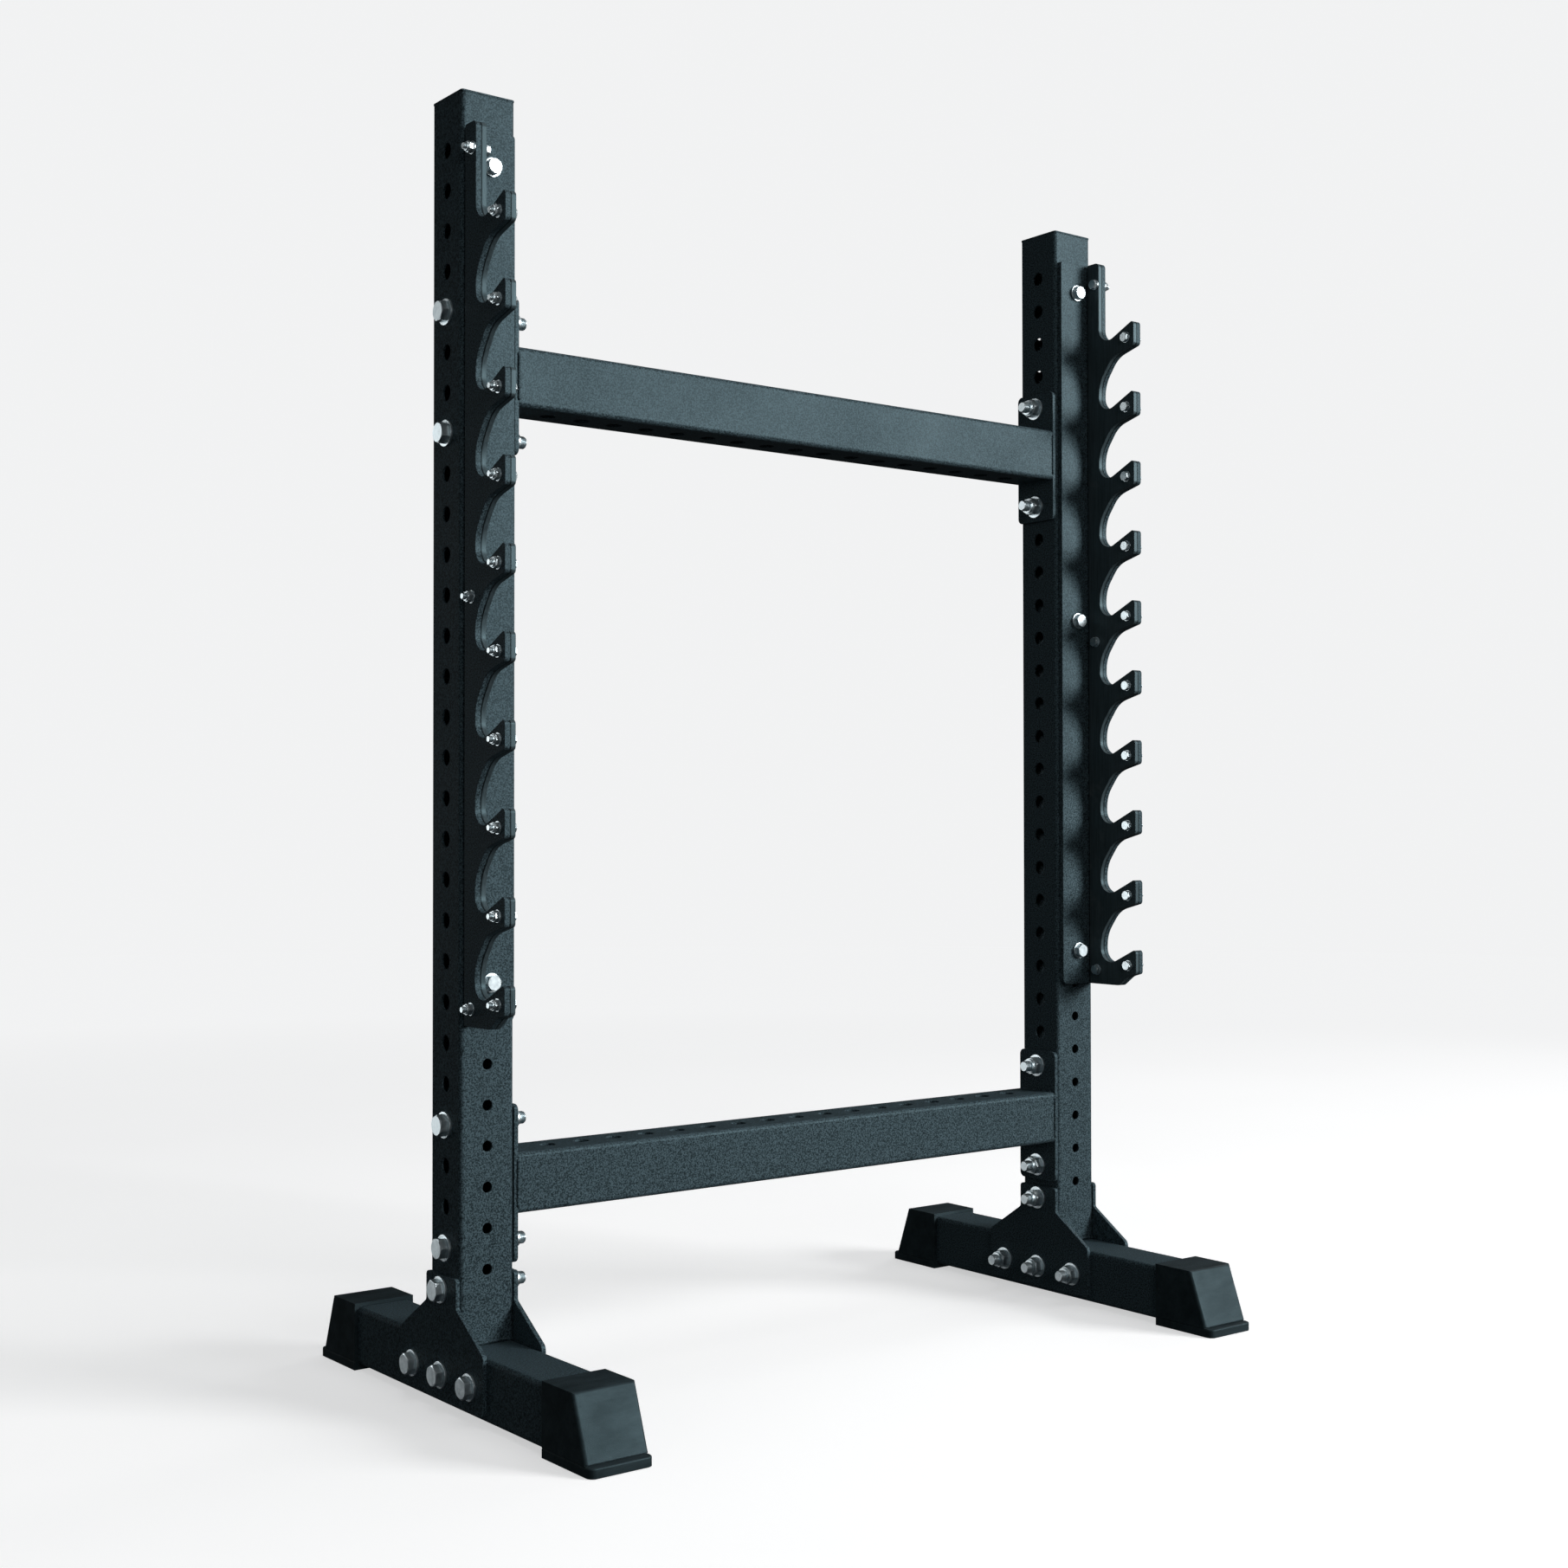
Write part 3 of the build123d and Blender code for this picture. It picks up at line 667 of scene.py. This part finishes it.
def line_path(a, b, step=0.7):
    """Evenly spaced points from a to b."""
    a, b = np.asarray(a, dtype=float), np.asarray(b, dtype=float)
    count = max(3, int(np.linalg.norm(b - a) / step))
    return a + (b - a) * np.linspace(0.0, 1.0, count)[:, None]


as_drawn = [np.eye(4)]
FLAT_HALF = HALF - 7.0  # half the flat of a tube's side, short of its rounded corners
BEAM_END = 464.0  # where a crossmember meets its flange plate
POST_SEAT = 85.0  # where a post meets its base plate
for level, height in zip(("upper", "lower"), BEAM_HEIGHTS):
    welds = Piece(f"{level}_crossmember_welds")
    for sign in (-1.0, 1.0):
        for dy, dz in ((0.0, -1.0), (0.0, 1.0), (1.0, 0.0), (-1.0, 0.0)):
            mid = np.array([sign * BEAM_END, dy * HALF, height + dz * HALF])
            reach = np.array([0.0, dz, dy]) * FLAT_HALF
            normal = np.array([-sign, dy, dz]) / math.sqrt(2.0)
            welds.add(bead(line_path(mid - reach, mid + reach), normal, 1.9, 4.2), as_drawn)
    welds.build([coat], sharp=60.0)
for side, sign in SIDE_SIGNS.items():
    welds = Piece(f"{side}_post_foot_welds")
    for dy in (-1.0, 1.0):
        mid = np.array([sign * POST_X, dy * HALF, POST_SEAT])
        reach = np.array([FLAT_HALF, 0.0, 0.0])
        welds.add(bead(line_path(mid - reach, mid + reach), (0.0, dy, 0.0), 1.5, 3.6), as_drawn)
    welds.build([coat], sharp=60.0)
print("weld beads laid")

# %% [markdown]
# ## The studio
# A pale floor, a pale surround that only the camera sees, and a few large soft lamps. The key lamp
# stands to the front right, so the front faces are lit and those turned to the left fall dark.
# Neither floor nor surround is mirrored in the rack or lights it. One more lamp lights the fasteners
# alone, to keep the plated heads on the dark side bright.

# %% Floor and surround
SURROUND = (0.88, 0.885, 0.89)
STUDIO_RADIUS = 9.0


def floor_material():
    """Pale plain floor that melts into the surround: the further from the middle, the less it
    depends on the lamps and the more it glows by itself."""
    s = Shader("studio_floor")
    distance = s.add("ShaderNodeVectorMath", operation="LENGTH")
    s.join(s.place, distance.inputs[0])
    far = s.ramp(distance.outputs["Value"], 1.4, 5.0)
    glow = s.ramp(distance.outputs["Value"], 1.4, 5.0, 0.62, 1.0)
    cloud = s.ramp(s.noise(0.9, detail=3.0), 0.3, 0.7)
    near_colour = s.blend(cloud, (0.76, 0.76, 0.76), (0.80, 0.80, 0.80))
    s.surface.inputs["Emission Color"].default_value = (*SURROUND, 1.0)
    s.join(glow, s.surface.inputs["Emission Strength"])
    s.bump([(s.noise(60.0), 0.0001)])
    colour = s.blend(far, near_colour, (0.01, 0.01, 0.01))
    return s.finish(colour, s.ramp(cloud, 0.0, 1.0, 0.7, 0.8), specular=0.1)


def surround_material():
    """Even pale glow for the surround."""
    s = Shader("studio_surround")
    s.surface.inputs["Emission Strength"].default_value = 1.0
    s.surface.inputs["Emission Color"].default_value = (*SURROUND, 1.0)
    colour = s.blend(s.noise(0.2), (0.0, 0.0, 0.0), (0.002, 0.002, 0.002))
    return s.finish(colour, s.ramp(s.noise(0.3), 0.0, 1.0, 0.9, 1.0))


just_below = (0.0, 0.0, -0.0005)
bpy.ops.mesh.primitive_circle_add(
    radius=STUDIO_RADIUS, vertices=128, fill_type="NGON", location=just_below)
floor = bpy.context.object
floor.name = "studio_floor"
floor.data.materials.append(floor_material())
bpy.ops.mesh.primitive_uv_sphere_add(
    radius=STUDIO_RADIUS, segments=64, ring_count=32, location=(0.0, 0.0, 0.0))
surround = bpy.context.object
surround.name = "studio_surround"
surround.data.materials.append(surround_material())
surround.data.flip_normals()
for ray in ("visible_diffuse", "visible_glossy", "visible_transmission", "visible_shadow"):
    setattr(surround, ray, False)
floor.visible_glossy = False
floor.visible_diffuse = False

# %% Lamps
def soft_lamp(name, where, aim, width, height, power):
    """A rectangular soft box at where, turned to face aim; power in watts."""
    data = bpy.data.lights.new(name, "AREA")
    data.shape = "RECTANGLE"
    data.size = width
    data.size_y = height
    data.energy = power
    lamp = bpy.data.objects.new(name, data)
    lamp.location = where
    lamp.rotation_euler = (Vector(aim) - Vector(where)).to_track_quat("-Z", "Y").to_euler()
    lamp.visible_camera = False
    bpy.context.scene.collection.objects.link(lamp)
    return lamp


soft_lamp("key", (4.2, -5.6, 2.9), (0.0, 0.0, 0.9), 3.0, 2.6, 480.0)
soft_lamp("front_fill", (-1.6, -5.4, 2.2), (0.0, 0.0, 0.8), 1.6, 1.6, 28.0)
soft_lamp("left_strip", (-4.6, -2.4, 1.6), (-0.5, 0.0, 0.9), 0.4, 2.6, 7.0)
soft_lamp("back_left", (-3.0, 4.2, 1.15), (-0.2, 0.0, 0.8), 3.0, 2.2, 4.0)
soft_lamp("right_side", (4.6, 0.9, 2.2), (0.0, 0.0, 0.8), 1.2, 2.0, 22.0)
bright_work = bpy.data.collections.new("bright_work")
for piece in bpy.data.objects:
    if piece.name.endswith("_detailed"):
        bright_work.objects.link(piece)
sparkle = soft_lamp("sparkle", (-3.4, 3.6, 0.9), (-0.2, 0.0, 0.6), 3.0, 2.6, 46.0)
sparkle.light_linking.receiver_collection = bright_work
overhead = bpy.data.objects.new("overhead", bpy.data.lights.new("overhead", "SUN"))
overhead.data.energy = 0.5
overhead.data.angle = math.radians(50)
overhead.rotation_euler = (math.radians(8), math.radians(6), 0.0)
bpy.context.scene.collection.objects.link(overhead)
world = bpy.data.worlds.new("studio")
world.use_nodes = True
world.node_tree.nodes["Background"].inputs["Color"].default_value = (0.85, 0.95, 1.0, 1.0)
world.node_tree.nodes["Background"].inputs["Strength"].default_value = 0.03
bpy.context.scene.world = world
bpy.context.scene.view_settings.view_transform = "Standard"

# %% [markdown]
# ## The camera
# A plain pinhole at table height, to the left of the front, looking 37.5 degrees to the right.

# %% Camera
def pinhole(where, yaw, pitch, roll, focal):
    """Camera at where in metres. Yaw turns it from +Y towards +X, pitch lifts it, roll leans it, in
    degrees; focal is the focal length in image widths."""
    yaw, pitch, roll = (math.radians(a) for a in (yaw, pitch, roll))
    ahead = np.array([math.sin(yaw) * math.cos(pitch), math.cos(yaw) * math.cos(pitch), math.sin(pitch)])
    right = np.array([math.cos(yaw), -math.sin(yaw), 0.0])
    up = np.cross(right, ahead)
    leaned_right = math.cos(roll) * right + math.sin(roll) * up
    leaned_up = -math.sin(roll) * right + math.cos(roll) * up
    matrix = Matrix.Identity(4)
    for row in range(3):
        matrix[row][0] = leaned_right[row]
        matrix[row][1] = leaned_up[row]
        matrix[row][2] = -ahead[row]
        matrix[row][3] = where[row]
    data = bpy.data.cameras.new("camera")
    data.sensor_fit = "HORIZONTAL"
    data.sensor_width = 36.0
    data.lens = 36.0 * focal
    camera = bpy.data.objects.new("camera", data)
    camera.matrix_world = matrix
    bpy.context.scene.collection.objects.link(camera)
    bpy.context.scene.camera = camera


pinhole((-1.7787, -2.2870, 0.7218), 37.546, 0.974, -0.063, 1.3315)
